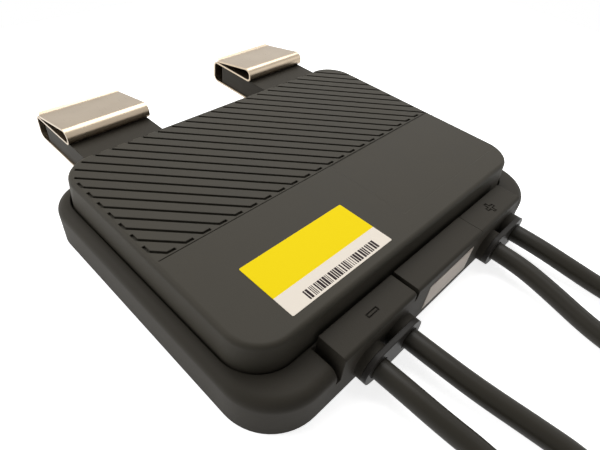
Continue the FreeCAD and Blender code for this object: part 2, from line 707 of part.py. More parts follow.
def heat_spreader():
    body = new_body("HeatSpreader")
    sk = sketch_on(body, "spreader_outline", lift="base_floor")
    rounded_rectangle(sk, "plate_width", "plate_length", "board_corner / 2", "cover_shift")
    pad(body, sk, "spreader_plate", "plate_thick")
    return finish_part(body, "heat_spreader")


def circuit_board():
    body = new_body("CircuitBoard")
    sk = sketch_on(body, "board_outline", lift="board_height")
    rounded_rectangle(sk, BOARD_WIDTH, BOARD_LENGTH, "board_corner", "cover_shift")
    pad(body, sk, "board_sheet", "board_thick")
    return finish_part(body, "circuit_board")


def upright_can(label, x, y, diameter, height):
    can = doc.addObject("Part::Cylinder", label.title().replace("_", ""))
    bind(can, "Radius", diameter + " / 2")
    bind(can, "Height", height)
    can.Placement.Base = V(x, y, BOARD_TOP)
    bind(can, "Placement.Base.z", "board_height + board_thick")
    return finish_part(can, label)


def toroid(label, x, y):
    """A wound ring core standing on the board: the ring, with its winding as a fatter band."""
    core = doc.addObject("Part::Feature", label.title() + "Core")
    lift = BOARD_TOP + s.choke_height / 2
    outer, inner, tall = s.choke_dia / 2, s.choke_bore / 2, s.choke_height / 2 - s.choke_wire
    ring = Part.makeCylinder(outer - s.choke_wire, 2 * tall, V(x, y, lift - tall))
    core.Shape = ring.cut(Part.makeCylinder(inner + s.choke_wire, 2 * tall, V(x, y, lift - tall)))
    finish_part(core, label + "_core")
    winding = doc.addObject("Part::Feature", label.title() + "Winding")
    band = Part.makeCylinder(outer, s.choke_height, V(x, y, BOARD_TOP))
    band = band.cut(Part.makeCylinder(inner, s.choke_height, V(x, y, BOARD_TOP)))
    gap = Part.makeBox(4, s.choke_dia, s.choke_height, V(x - 2, y, BOARD_TOP))
    winding.Shape = band.cut(gap).cut(core.Shape)
    return finish_part(winding, label + "_winding")


def chip(label, x, y, long, wide, tall):
    """A flat or boxy component standing on the board, its middle at x, y."""
    corner = ("%r - %s / 2" % (x, long), "%r - %s / 2" % (y, wide), "board_height + board_thick")
    return finish_part(block(label, corner, (long, wide, tall)), label)


def lead_and_terminal(label, x):
    """The cable's end inside the box, and the crimp terminal that joins it to the board."""
    lead = new_body(label.title().replace("_", "") + "Lead")
    sk = sketch_on(lead, label + "_lead_outline", "XZ_Plane", "%r" % -LEAD_END)
    disc(sk, x, s.cable_height, s.cable_dia)
    pad(lead, sk, label + "_lead_run", "%r" % (LEAD_END - EXIT))
    finish_part(lead, label + "_lead")
    body = new_body(label.title().replace("_", "") + "Terminal")
    sk = sketch_on(body, label + "_barrel_outline", "XZ_Plane", "%r" % -LEAD_END)
    disc(sk, x, s.cable_height, s.barrel_dia)
    pad(body, sk, label + "_barrel", "barrel_length", back=True)
    sk = sketch_on(body, label + "_tab_outline", lift="board_height + board_thick")
    half = s.tab_width / 2
    rectangle(sk, x - half, LEAD_END + s.barrel_length / 2, x + half, BOARD_FRONT + s.tab_lap)
    pad(body, sk, label + "_tab", "tab_thick")
    finish_part(body, label + "_terminal")


def seal(label, x):
    body = new_body(label.title().replace("_", "") + "Seal")
    sk = sketch_on(body, label + "_seal_outline", "XZ_Plane", "- %r" % SLEEVE_FRONT)
    disc(sk, x, s.cable_height, s.seal_dia)
    disc(sk, x, s.cable_height, s.cable_dia)
    pad(body, sk, label + "_seal_ring", "seal_length", back=True)
    return finish_part(body, label + "_seal")


def potting(inner):
    """The compound that fills the box round everything up to its level."""
    made = doc.addObject("Part::Feature", "Potting")
    flat = Part.makeBox(CAVITY_WIDE, CAVITY_LONG, s.potting_level - s.base_floor)
    upright = [e for e in flat.Edges if e.BoundBox.ZLength > 1]
    flat = flat.makeFillet(s.cover_corner + s.cover_draft - s.cover_wall, upright)
    flat.translate(V(-CAVITY_WIDE / 2, MIDDLE_Y - CAVITY_LONG / 2, s.base_floor))
    posts = [post_shape(x, y) for x in (-1, 1) for y in (-1, 1)]
    made.Shape = flat.cut([part.Shape for part in inner] + posts)
    return finish_part(made, "potting")


def post_shape(x, y):
    return Part.makeCylinder(s.post_dia / 2, s.board_height, V(x * POST_X, MIDDLE_Y + y * POST_Y, 0))


# The cables: each route is the points that a stiff wire follows over the surface it lies on
ROUTES = {
    "input_negative": [
        (-33.7, EXIT, 5.9), (-33.7, -65.0, 5.9), (-33.3, -76.0, 4.9), (-32.2, -88.0, 3.7),
        (-33.2, -101.0, 3.3), (-37.4, -115.0, 3.5), (-43.4, -128.5, 4.4), (-48.9, -142.0, 6.5),
        (-51.8, -155.0, 8.8), (-52.2, -165.0, 9.3), (-52.2, -173.5, 9.3),
    ],
    "output_negative": [
        (-19.9, EXIT, 5.9), (-19.9, -65.5, 5.9), (-18.7, -79.0, 4.7), (-16.4, -93.0, 3.4),
        (-15.3, -106.0, 3.2), (-18.2, -118.5, 3.2), (-25.0, -130.0, 3.2), (-32.2, -141.0, 3.2),
        (-36.9, -152.5, 3.2), (-38.4, -162.0, 3.2), (-38.4, -170.0, 3.2),
    ],
    "output_positive": [
        (31.9, EXIT, 5.9), (31.9, -65.0, 5.9), (30.2, -77.0, 4.8), (26.6, -92.5, 3.5),
        (24.8, -105.0, 3.8), (26.2, -117.5, 5.9), (30.6, -129.0, 9.4), (35.0, -140.5, 13.0),
        (37.6, -152.0, 15.3), (38.4, -163.0, 15.9), (38.4, -170.0, 15.9),
    ],
    "input_positive": [
        (45.7, EXIT, 5.9), (45.7, -65.0, 5.9), (45.9, -76.0, 4.9), (46.3, -88.0, 3.6),
        (46.6, -101.5, 3.3), (47.8, -116.0, 3.5), (49.6, -130.5, 4.8), (51.3, -144.5, 7.2),
        (52.2, -157.0, 9.1), (52.3, -167.0, 9.3), (52.3, -176.0, 9.3),
    ],
}
OUTPUT_CABLE = 1200.0

# Each coil: its centre, the side that the cable comes in on, its height, and where its straight end runs
COIL_Y = -192.5
COILS = {"output_negative": (0.0, COIL_Y, -1, 0.0), "output_positive": (0.0, COIL_Y, 1, 12.7)}
TAILS = {
    "output_negative": [(0.0, 0.0), (1.0, 0.0)],
    "output_positive": [
        (0.0, 12.7), (0.17, 12.7), (0.38, 10.4), (0.58, 5.0), (0.76, 1.4), (0.9, 0.0), (1.0, 0.0),
    ],
}


def along(points):
    """A line along straight runs joined by tangent arcs, and the arcs' radii."""
    runs = [points[i + 1] - points[i] for i in range(len(points) - 1)]
    edges, start, radii = [], points[0], []
    for i in range(1, len(points) - 1):
        into, out = runs[i - 1], runs[i]
        turn = into.getAngle(out)
        back = 0.45 * min(into.Length, out.Length)
        radii.append(back / math.tan(turn / 2))
        enter = points[i] - V(into).normalize() * back
        leave = points[i] + V(out).normalize() * back
        bisector = (V(out).normalize() - V(into).normalize()).normalize()
        middle = points[i] + bisector * (radii[-1] / math.cos(turn / 2) - radii[-1])
        edges += [Part.LineSegment(start, enter).toShape(), Part.Arc(enter, middle, leave).toShape()]
        start = leave
    edges.append(Part.LineSegment(start, points[-1]).toShape())
    return Part.Wire(edges), radii


def tube(points):
    """A round cable along the points; returns its solid, its length and its radii."""
    path, radii = along(points)
    across = Part.Wire(Part.Circle(points[0], points[1] - points[0], s.cable_dia / 2).toShape())
    return path.makePipeShell([across], True, False), path.Length, radii


def cable(label):
    """The free cable of that name."""
    made = doc.addObject("Part::Feature", label.title().replace("_", "") + "Cable")
    made.Shape, length, radii = tube([V(*p) for p in ROUTES[label]])
    straight = math.pi * s.cable_dia ** 2 / 4 * length
    print(label, "cable", round(length, 1), "mm long, radii", [round(r) for r in radii],
          "volume", round(made.Shape.Volume / straight, 4), "of section times length")
    finish_part(made, label + "_cable")
    return length


def coil(label, laid):
    """The outer shape of a wound cable: three turns side by side with two on top of them."""
    x, y, side, base = COILS[label]
    mean, wire = s.coil_mean / 2, s.cable_dia
    layer = s.nut_dia / 2 - wire / 2
    low, high = mean + 1.5 * wire, mean - 1.5 * wire
    flat, lean = 0.3 * wire, 0.45 * wire
    half = [(low - flat, 0), (low, flat), (low, 2 * flat + 0.1 * wire), (mean + wire, wire + layer - flat),
            (mean + wire - lean, wire + layer)]
    outline = half + [(low + high - r, z) for r, z in reversed(half)]
    corners = [V(x + r, y, base + z) for r, z in outline]
    section = Part.Face(Part.Wire(Part.makePolygon(corners + corners[:1]).Edges))
    ring = section.revolve(V(x, y, 0), V(0, 0, 1), 360)
    entry = V(*ROUTES[label][-1])
    lead_in = Part.makeCylinder(wire / 2, entry.y - y, entry, V(0, -1, 0))
    tail = OUTPUT_CABLE - laid - 5 * math.pi * s.coil_mean - (entry.y - y)
    end_x = x + side * low
    points = [V(end_x, y - part * tail, s.nut_dia / 2 + rise) for part, rise in TAILS[label]]
    if len(points) == 2:
        lead_out = Part.makeCylinder(wire / 2, tail, points[0], V(0, -1, 0))
    else:
        lead_out, length, radii = tube(points)
        print(label, "straight end's radii", [round(r) for r in radii])
    made = doc.addObject("Part::Feature", label.title().replace("_", "") + "Coil")
    made.Shape = ring.fuse([lead_in, lead_out]).removeSplitter()
    finish_part(made, label + "_coil")
    print(label, "coil: the straight end is", round(tail, 1), "mm for a cable of", OUTPUT_CABLE)
    return end_x, y - tail


def turned(label, outline, x, y, z):
    """A body turned about an axis along Y: the outline is (distance from y towards the nose, radius)."""
    body = new_body(label.title().replace("_", ""))
    sk = sketch_on(body, label + "_section", "YZ_Plane", "%r" % x)
    sk.AttachmentOffset.Base = V(y, z, x)
    polygon(sk, [(-along, radius) for along, radius in outline])
    turn = body.newObject("PartDesign::Revolution", label + "_turned")
    turn.Profile = sk
    turn.ReferenceAxis = (sk, ["H_Axis"])
    turn.Angle = 360
    settle(body, turn)
    return body


def connector(label, x, y, has_arms):
    """A round single-pole connector: nut, body with its nose, and contact."""
    z, nut, shell, nose = s.nut_dia / 2, s.nut_dia / 2, s.plug_dia / 2, s.nose_dia / 2
    wall, end = s.nose_wall, s.nut_length + s.plug_length
    hollow = 10.0
    body = turned(
        label + "_nut",
        [(0, 0), (0, nut - 3.4), (1.2, nut - 2.2), (6.0, nut - 0.6), (7.0, nut), (s.nut_length - 1, nut),
         (s.nut_length, nut - 1), (s.nut_length, 0)],
        x, y, z,
    )
    grips = sketch_on(body, label + "_grip_outline", "XZ_Plane", "- %r" % (y - 7.0))
    for i in range(s.nut_grips):
        turn = 2 * math.pi * (i + 0.5) / s.nut_grips
        disc(grips, x + (nut + 0.5) * math.cos(turn), z + (nut + 0.5) * math.sin(turn), 2.6)
    pocket(body, grips, label + "_grips", "nut_length - 8.5", back=True)
    finish_part(body, label + "_nut")

    start, neck = s.nut_length, end - s.nose_length
    shape = [
        (start, 0), (start, shell), (start + 3, shell), (start + 3, shell - 0.8), (start + 5, shell - 0.8),
        (start + 5, shell), (neck, shell), (neck, nose), (end, nose), (end, nose - wall),
        (end - hollow, nose - wall), (end - hollow, 0),
    ]
    body = turned(label + "_body", shape, x, y, z)
    arms = sketch_on(body, label + "_arm_outline", lift="%r" % (z - s.arm_width / 2))
    start, tip = y - end + s.nose_length + 3, y - end - (s.arm_past if has_arms else -4.0)
    for side in (-1, 1):
        inner = x + side * (shell - s.arm_thick)
        outer = x + side * shell
        barb = [(outer, tip + 3), (outer - side * 1.2, tip)]
        polygon(arms, [(inner, start), (outer, start)] + barb + [(inner, tip)])
    pad(body, arms, label + "_arms", "arm_width")
    finish_part(body, label + "_body")

    body = new_body(label.title().replace("_", "") + "Contact")
    sk = sketch_on(body, label + "_contact_outline", "XZ_Plane", "- %r" % (y - end + hollow))
    disc(sk, x, z, s.pin_dia)
    pad(body, sk, label + "_contact_pin", "pin_length")
    finish_part(body, label + "_contact")


LEAD_END = COVER_FRONT - s.cover_draft + s.cover_wall + s.lead_in
BOARD_FRONT = MIDDLE_Y - BOARD_LONG / 2

housing()
cover()
gasket()
retainer("negative_retainer", s.negative_pair)
retainer("positive_retainer", s.positive_pair)
for side, centre in zip(SIDES, TONGUE_X):
    clip(side, centre)
labels()

inside = len(parts)
heat_spreader()
pad_low = ("- pad_width / 2", "cover_shift - pad_length / 2", "base_floor + plate_thick")
pad_size = ("pad_width", "pad_length", "board_height - base_floor - plate_thick")
finish_part(block("thermal_pad", pad_low, pad_size), "thermal_pad")
circuit_board()
toroid("input_choke", -32.0, 14.0)
toroid("output_choke", 0.0, 14.0)
for i in range(3):
    upright_can("capacitor_%d" % (i + 1), -12.0 + 14.0 * i, -14.0, "can_dia", "can_tall")
for i in range(2):
    chip("film_capacitor_%d" % (i + 1), 34.0, 14.0 + 15.0 * i, "film_long", "film_wide", "film_tall")
for i in range(4):
    chip("transistor_%d" % (i + 1), -44.0 + 9.0 * i, -10.0, "chip_side", "chip_side", "chip_tall")
chip("control_chip", 36.0, -6.0, "control_side", "control_side", "chip_tall")
chip("line_coupler", 36.0, -20.0, "coupler_long", "coupler_wide", "coupler_tall")
for name, x in zip(CABLE_NAMES, CABLE_X):
    lead_and_terminal(name, x)
potting(parts[inside:])
for name, x in zip(CABLE_NAMES, CABLE_X):
    seal(name, x)
for name in CABLE_NAMES:
    laid = cable(name)
    end = coil(name, laid) if name in COILS else ROUTES[name][-1][:2]
    connector(name.replace("put", "put_plug"), end[0], end[1], name.endswith("negative"))

doc.recompute()
os.makedirs("parts", exist_ok=True)
for thing in doc.Objects:
    if "Invalid" in thing.State or "Error" in thing.State:
        raise RuntimeError(thing.Name + " failed: " + str(thing.State))
for part in parts:
    shape = part.Shape
    if shape.isNull() or not shape.isValid():
        raise RuntimeError(part.Label + " has no valid shape")
for part in parts:
    part.Shape.exportStep("parts/%s.step" % part.Label)
    box = part.Shape.BoundBox
    print(part.Label, len(part.Shape.Solids), "solids", round(part.Shape.Volume), "mm3",
          [round(v, 1) for v in (box.XMin, box.YMin, box.ZMin, box.XMax, box.YMax, box.ZMax)])
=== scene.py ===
# %% [markdown]
# # A solar power optimizer, dressed for the camera
# The object is a flat sealed box of dark moulded plastic that is clipped behind a solar panel.
# It has a ribbed cover, two steel spring clips at the back, two pairs of cables at the front
# and a yellow and white label. The CAD model gives every rigid shape in metres. This script adds
# the camera, the floor, the light, the flexible cables, the printed labels and each surface's finish.

# %% Load the CAD model as the frame
import json
import math
import random

import bmesh
import bpy
from mathutils import Matrix, Vector


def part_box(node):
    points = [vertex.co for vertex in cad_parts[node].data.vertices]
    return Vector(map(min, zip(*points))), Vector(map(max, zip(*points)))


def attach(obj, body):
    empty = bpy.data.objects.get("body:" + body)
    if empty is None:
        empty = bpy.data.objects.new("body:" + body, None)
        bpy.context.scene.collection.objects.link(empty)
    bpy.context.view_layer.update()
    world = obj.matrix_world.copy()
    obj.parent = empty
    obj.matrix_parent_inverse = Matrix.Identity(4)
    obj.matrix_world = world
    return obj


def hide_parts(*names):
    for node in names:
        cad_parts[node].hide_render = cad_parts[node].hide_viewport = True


MM = 0.001
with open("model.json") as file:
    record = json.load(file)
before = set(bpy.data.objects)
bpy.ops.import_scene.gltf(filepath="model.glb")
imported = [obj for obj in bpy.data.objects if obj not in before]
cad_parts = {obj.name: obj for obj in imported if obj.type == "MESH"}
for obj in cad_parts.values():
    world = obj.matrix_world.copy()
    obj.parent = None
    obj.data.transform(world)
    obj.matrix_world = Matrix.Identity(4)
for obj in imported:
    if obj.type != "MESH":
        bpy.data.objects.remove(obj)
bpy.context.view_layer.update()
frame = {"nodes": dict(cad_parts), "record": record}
nodes = frame["nodes"]
print("pieces from the CAD model:", len(nodes))


# %% Two small helpers for new objects
def new_object(name, data):
    """An object that carries the data, linked into the scene."""
    made = bpy.data.objects.new(name, data)
    bpy.context.scene.collection.objects.link(made)
    return made


def from_bmesh(name, work):
    """An object from a finished bmesh, which is freed."""
    mesh = bpy.data.meshes.new(name)
    work.to_mesh(mesh)
    work.free()
    return new_object(name, mesh)


# %% [markdown]
# ## Camera
# The photograph was taken close to the box, from above its negative corner, so near edges look
# much larger than far ones. The camera's place and its three directions were worked out from
# edges whose real lengths are known. A turn is easiest to give as the directions themselves:
# right, up and backwards are the three columns of the camera's matrix. The clip start is short
# because the nearest edges are only a few centimetres from the lens.

# %% Put the camera where the photograph was taken
right = Vector((0.6952, -0.7128, 0.0933))
up = Vector((0.4377, 0.5227, 0.7316))
backwards = Vector((-0.5702, -0.4677, 0.6753))
CAMERA_PLACE = (-0.1030, -0.0811, 0.1157)
LENS = 28.705
camera_data = bpy.data.cameras.new("camera")
camera_data.lens = LENS
camera_data.sensor_width = 36.0
camera_data.clip_start = 0.005
camera = new_object("camera", camera_data)
turn = Matrix((right, up, backwards)).transposed().to_4x4()
camera.matrix_world = Matrix.Translation(CAMERA_PLACE) @ turn
bpy.context.scene.camera = camera
print("camera height above the floor, mm:", round(camera.location.z / MM, 1))

# %% [markdown]
# ## Cables
# Two short cables take power in from one solar panel, and two long ones pass it on. All four are
# round single-core solar cable with a smooth black jacket, 6.4 mm across. Such cable is stiff:
# it leaves its gland straight, sinks to the floor and lies there in easy curves. A curve object
# with a round bevel is the natural way to make it, because its length can be read and changed.
# A NURBS spline is used, since its line stays smooth between a few given points. The points
# are those of the CAD model, in millimetres, from the retainer's face to the connector.

# %% The routes of the cables, point by point
CABLE_ACROSS = 6.4 * MM
EXIT_Y = -56.8
ROUTES = {
    "input_negative": [
        (-33.7, EXIT_Y, 5.9), (-33.7, -65.0, 5.9), (-33.3, -76.0, 4.9), (-32.2, -88.0, 3.7),
        (-33.2, -101.0, 3.3), (-37.4, -115.0, 3.5), (-43.4, -128.5, 4.4), (-48.9, -142.0, 6.5),
        (-51.8, -155.0, 8.8), (-52.2, -165.0, 9.3), (-52.2, -173.5, 9.3),
    ],
    "output_negative": [
        (-19.9, EXIT_Y, 5.9), (-19.9, -65.5, 5.9), (-18.7, -79.0, 4.7), (-16.4, -93.0, 3.4),
        (-15.3, -106.0, 3.2), (-18.2, -118.5, 3.2), (-25.0, -130.0, 3.2), (-32.2, -141.0, 3.2),
        (-36.9, -152.5, 3.2), (-38.4, -162.0, 3.2), (-38.4, -170.0, 3.2),
    ],
    "output_positive": [
        (31.9, EXIT_Y, 5.9), (31.9, -65.0, 5.9), (30.2, -77.0, 4.8), (26.6, -92.5, 3.5),
        (24.8, -105.0, 3.8), (26.2, -117.5, 5.9), (30.6, -129.0, 9.4), (35.0, -140.5, 13.0),
        (37.6, -152.0, 15.3), (38.4, -163.0, 15.9), (38.4, -170.0, 15.9),
    ],
    "input_positive": [
        (45.7, EXIT_Y, 5.9), (45.7, -65.0, 5.9), (45.9, -76.0, 4.9), (46.3, -88.0, 3.6),
        (46.6, -101.5, 3.3), (47.8, -116.0, 3.5), (49.6, -130.5, 4.8), (51.3, -144.5, 7.2),
        (52.2, -157.0, 9.1), (52.3, -167.0, 9.3), (52.3, -176.0, 9.3),
    ],
}

# %% [markdown]
# The long cables are put away as two round coils, one lying on the other, between the short ones.
# Each coil has three turns side by side and two on top. A real turn keeps its radius most of the
# way round and steps to the next one in a short stretch, so the turns lie side by side without
# crossing. At its end the third turn climbs on the inside of its neighbour, by the radii and
# heights listed in CLIMB, to start the upper layer. A coil's side is the way that it is wound,
# and its base is the height of what it lies on.

# %% Add the coils and the straight ends to the long cables
COIL_Y = -192.5
COILS = {"output_negative": (-1, 0.0), "output_positive": (1, 12.7)}
TURN_RADII = [38.4, 32.0, 25.6, 28.8, 35.2, 41.6]
TURNS, LOW_TURNS = 5, 3
LOW_TURN, TOP_TURN = 3.2, 9.3
RUN_IN = 11.0
POINTS_A_TURN = 20
STEP_FROM = 0.7
CLIMB = [(25.0, 4.2), (24.4, 5.8), (24.5, 8.0), (25.6, 9.3), (27.0, 9.5), (28.4, 9.4)]
STRAIGHT_ENDS = {
    "output_negative": [(6.0, 0.0), (32.0, 0.0), (53.5, 0.0)],
    "output_positive": [(9.3, 12.7), (20.9, 10.4), (31.9, 5.0), (41.8, 1.4), (49.5, 0.0), (55.0, 0.0)],
}


def coil_points(side, base):
    """Points of the turns, clockwise for side 1."""
    points = []
    for count in range(1, TURNS * POINTS_A_TURN + 1):
        turns = (count - 0.5) / POINTS_A_TURN
        whole, part = int(turns), turns % 1
        blend = max(0.0, (part - STEP_FROM) / (1 - STEP_FROM))
        blend = blend * blend * (3 - 2 * blend)
        radius = TURN_RADII[whole] * (1 - blend) + TURN_RADII[whole + 1] * blend
        height = LOW_TURN if whole < LOW_TURNS else TOP_TURN
        if whole == LOW_TURNS - 1 and part > STEP_FROM:
            radius, height = CLIMB[int((part - STEP_FROM) / (1 - STEP_FROM) * len(CLIMB))]
        angle = -2 * math.pi * turns
        across, along = side * radius * math.cos(angle), radius * math.sin(angle)
        points.append((across, COIL_Y + along, base + height))
    return points


for name, (side, base) in COILS.items():
    ROUTES[name].append((side * TURN_RADII[0], COIL_Y + RUN_IN, base + LOW_TURN))
    ROUTES[name] += coil_points(side, base)
    ROUTES[name] += [(side * TURN_RADII[-1], COIL_Y - y, TOP_TURN + z) for y, z in STRAIGHT_ENDS[name]]
    print(name, "route has", len(ROUTES[name]), "points")

# %% [markdown]
# A curve's own bounds grow by the radius of its points. So the bevel is a circle one metre in
# radius, and each point's radius brings it down to the cable's size, which keeps the bounds true.

# %% Draw each cable as one NURBS curve
cables = {}
for name, route in ROUTES.items():
    data = bpy.data.curves.new(name + "_wire", "CURVE")
    data.dimensions = "3D"
    data.bevel_depth = 1.0
    data.bevel_resolution = 6
    data.resolution_u = 8
    data.use_fill_caps = True
    spline = data.splines.new("NURBS")
    spline.points.add(len(route) - 1)
    for point, place in zip(spline.points, route):
        point.co = (place[0] * MM, place[1] * MM, place[2] * MM, 1.0)
        point.radius = CABLE_ACROSS / 2
    spline.order_u = 3
    spline.use_endpoint_u = True
    cables[name] = new_object(name + "_wire", data)

# %% Attach each cable to the root body, and hide the CAD model's cable and coil pieces
for name, wire in cables.items():
    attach(wire, "root")
    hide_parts(name + "_cable")
    if name in COILS:
        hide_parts(name + "_coil")

# %% [markdown]
# ## Floor and light
# The object stands in the open on white. A matt white floor under a broad even light gives a soft
# shadow that ties the object to the ground. The background's white comes from the floor's own
# colour and, beyond its edge, from a world that only the camera and reflections see as white.

# %% A function that turns a written colour into Blender's linear one
def linear(hex_colour, alpha=1.0):
    """An sRGB colour such as 'ffcc00' as the linear values that shaders use."""
    out = []
    for i in (0, 2, 4):
        level = int(hex_colour[i:i + 2], 16) / 255
        out.append(level / 12.92 if level <= 0.04045 else ((level + 0.055) / 1.055) ** 2.4)
    return (*out, alpha)


# %% A function that adds one shader node
def add(tree, kind, sockets=None, **settings):
    """A node with its settings; a socket's entry is a value, or another node's output to link."""
    made = tree.nodes.new(kind)
    for name, value in settings.items():
        setattr(made, name, value)
    for name, value in (sockets or {}).items():
        if isinstance(value, bpy.types.NodeSocket):
            tree.links.new(value, made.inputs[name])
        else:
            made.inputs[name].default_value = value
    return made


def new_material(name):
    """An empty material, with its node tree and its output."""
    material = bpy.data.materials.new(name)
    material.use_nodes = True
    material.node_tree.nodes.clear()
    return material, material.node_tree, add(material.node_tree, "ShaderNodeOutputMaterial")


def seen_directly(tree):
    """1 for camera and mirror rays, which see the white background, and 0 for light on surfaces."""
    ray = add(tree, "ShaderNodeLightPath")
    mirrored = add(tree, "ShaderNodeMath", {
        0: ray.outputs["Is Glossy Ray"], 1: ray.outputs["Is Transmission Ray"]}, operation="MAXIMUM")
    return add(tree, "ShaderNodeMath", {
        0: ray.outputs["Is Camera Ray"], 1: mirrored.outputs[0]}, operation="MAXIMUM").outputs[0]


# %% The white floor, a hair below the object
FLOOR_HALF = 0.32
FLOOR_PLACE = (0.0, -0.10, -0.0002)
FLOOR_GLOW = 0.8
work = bmesh.new()
bmesh.ops.create_grid(work, x_segments=1, y_segments=1, size=FLOOR_HALF)
floor = from_bmesh("floor", work)
floor.location = FLOOR_PLACE
white_paper, tree, output = new_material("white_paper")
matt = add(tree, "ShaderNodeBsdfDiffuse", {"Color": linear("f4f4f4")})
glow = add(tree, "ShaderNodeEmission", {"Color": linear("ffffff"), "Strength": FLOOR_GLOW})
lifted = add(tree, "ShaderNodeMixShader", {0: seen_directly(tree)})
both = add(tree, "ShaderNodeAddShader", {0: matt.outputs[0], 1: glow.outputs[0]})
tree.links.new(matt.outputs[0], lifted.inputs[1])
tree.links.new(both.outputs[0], lifted.inputs[2])
tree.links.new(lifted.outputs[0], output.inputs["Surface"])
floor.data.materials.append(white_paper)

# %% The world: white to the camera and in reflections, dimmer as a light
ROOM_LIGHT = 0.15
world = bpy.data.worlds.new("studio")
world.use_nodes = True
bpy.context.scene.world = world
tree = world.node_tree
tree.nodes.clear()
level = add(tree, "ShaderNodeMapRange", {
    "Value": seen_directly(tree), "To Min": ROOM_LIGHT, "To Max": 1.0})
sky = add(tree, "ShaderNodeBackground", {"Color": linear("ffffff"), "Strength": level.outputs[0]})
tree.links.new(sky.outputs[0], add(tree, "ShaderNodeOutputWorld").inputs["Surface"])


# %% Soft lamps: a broad one overhead and a smaller one on each side
def softbox(name, place, aim, size, watts):
    """A square area lamp at place, pointing at aim, both in metres."""
    data = bpy.data.lights.new(name, "AREA")
    data.size = size
    data.energy = watts
    lamp = new_object(name, data)
    lamp.location = place
    lamp.rotation_euler = (Vector(aim) - Vector(place)).to_track_quat("-Z", "Y").to_euler()


softbox("overhead", (0.32, 0.30, 0.75), (0.0, 0.0, 0.0), 0.7, 6.4)
softbox("left_side", (-0.50, 0.50, 0.45), (0.0, 0.0, 0.0), 0.4, 3.0)
softbox("right_side", (0.65, -0.35, 0.30), (0.05, 0.0, 0.0), 0.4, 0.5)

# %% [markdown]
# ## Dark moulded plastic
# The box is injection moulded in glass-filled engineering plastic, coloured black all through.
# Its mould is spark eroded, which leaves a fine even grain that scatters light, so the surface
# looks charcoal rather than black. The grain is about 0.2 mm; it is drawn a little coarser here so
# that it shows. A noise drives a slight bump for the grain, and a wide soft noise shifts the
# colour and the roughness a little, as handling and flow marks do. The edges of a moulding are
# never quite sharp, so a Bevel node rounds them in the shading.
#
# A Mix node has several sockets with the same name, one set for each kind of data. Its colours
# are therefore given by position: for RGBA data the inputs are 6 and 7, and the output is 2.

# %% One recipe for the moulded pieces
GRAIN = 0.35 * MM
FLOW_MARK = 22 * MM
EDGE_ROUND = 0.45 * MM
DULLER, GLOSSIER = 0.07, 0.05


def moulded_plastic(name, colour, worn, roughness, grain_depth, shine=0.12):
    """Grained plastic: colour and worn are its darkest and lightest tones, shine its mirror part."""
    material, tree, output = new_material(name)
    place = add(tree, "ShaderNodeTexCoord")
    grain = add(tree, "ShaderNodeTexNoise", {
        "Vector": place.outputs["Object"], "Scale": 1 / GRAIN, "Detail": 3.0, "Roughness": 0.6})
    flow = add(tree, "ShaderNodeTexNoise", {
        "Vector": place.outputs["Object"], "Scale": 1 / FLOW_MARK, "Detail": 4.0, "Roughness": 0.55})
    tone = add(tree, "ShaderNodeMix", {
        0: flow.outputs["Fac"], 6: linear(colour), 7: linear(worn)}, data_type="RGBA")
    sheen = add(tree, "ShaderNodeMapRange", {
        "Value": flow.outputs["Fac"], "To Min": roughness - GLOSSIER, "To Max": roughness + DULLER})
    soft_edge = add(tree, "ShaderNodeBevel", {"Radius": EDGE_ROUND}, samples=6)
    bump = add(tree, "ShaderNodeBump", {
        "Height": grain.outputs["Fac"], "Strength": 0.6, "Distance": grain_depth,
        "Normal": soft_edge.outputs[0]})
    shader = add(tree, "ShaderNodeBsdfPrincipled", {
        "Base Color": tone.outputs[2], "Roughness": sheen.outputs[0],
        "Normal": bump.outputs[0], "IOR": 1.52, "Specular IOR Level": shine})
    tree.links.new(shader.outputs[0], output.inputs["Surface"])
    return material


# %% Finishes of the box, its glands, its cables and its plugs
housing_black = moulded_plastic("housing_glass_filled_nylon", "2f2c26", "3a362f", 0.62, 0.05 * MM)
cover_black = moulded_plastic("cover_glass_filled_nylon", "38352e", "433f37", 0.56, 0.05 * MM)
gland_black = moulded_plastic("gland_nylon", "242220", "2e2b27", 0.42, 0.03 * MM)
jacket_black = moulded_plastic("cable_jacket_rubber", "1e1b14", "28241b", 0.42, 0.015 * MM, shine=0.2)
plug_black = moulded_plastic("plug_nylon", "222120", "2b2a28", 0.42, 0.03 * MM)

# %% [markdown]
# ## Spring steel
# The clips are bent from rolled stainless strip. Rolling leaves very fine lines along the strip,
# which spread a reflection across them, and the strip has a faint straw tint from tempering.

# %% Rolled stainless strip, and the recipe for the other metals
ROLL_LINE = 0.25 * MM
LINE_STRETCH = 0.03
TINT_CLOUD = 9 * MM


